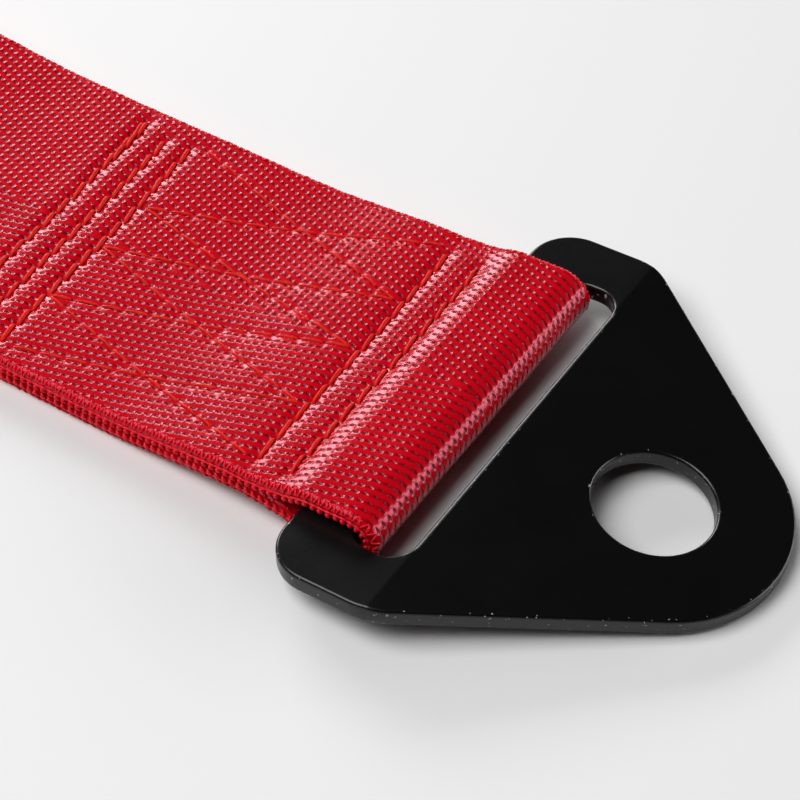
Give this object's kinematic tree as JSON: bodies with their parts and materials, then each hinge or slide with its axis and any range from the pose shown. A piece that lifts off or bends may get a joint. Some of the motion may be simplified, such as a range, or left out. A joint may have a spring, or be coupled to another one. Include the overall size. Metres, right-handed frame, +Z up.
{
  "type": "tow strap",
  "caption": "Tow strap: red nylon webbing sewn into a loop round the bar of a black bent steel bracket plate with a bolt hole.",
  "frame": {"origin": "on the floor under the middle of the whole strap", "axes": "+X from the loop to the plate's nose, +Y across the webbing, +Z up"},
  "size_m": [0.2798, 0.0694, 0.019],
  "materials": {
    "painted_plate": "satin black powder paint",
    "nylon_webbing": "glossy woven nylon",
    "sewing_thread": "satin twisted nylon"
  },
  "bodies": {
    "strap": {"webbing": "nylon_webbing", "seam_row_1": "sewing_thread", "seam_row_2": "sewing_thread", "seam_row_3": "sewing_thread", "seam_row_4": "sewing_thread", "seam_row_5": "sewing_thread"},
    "bracket": {"bracket_plate": "painted_plate"}
  },
  "joints": [
    {"name": "bracket_swing", "type": "hinge", "parent": "strap", "child": "bracket", "pos_m": [0.09214, 0, 0.0043], "axis": [0, 1, 0], "range_deg": [-75, 75], "deforming": ["webbing"]}
  ]
}
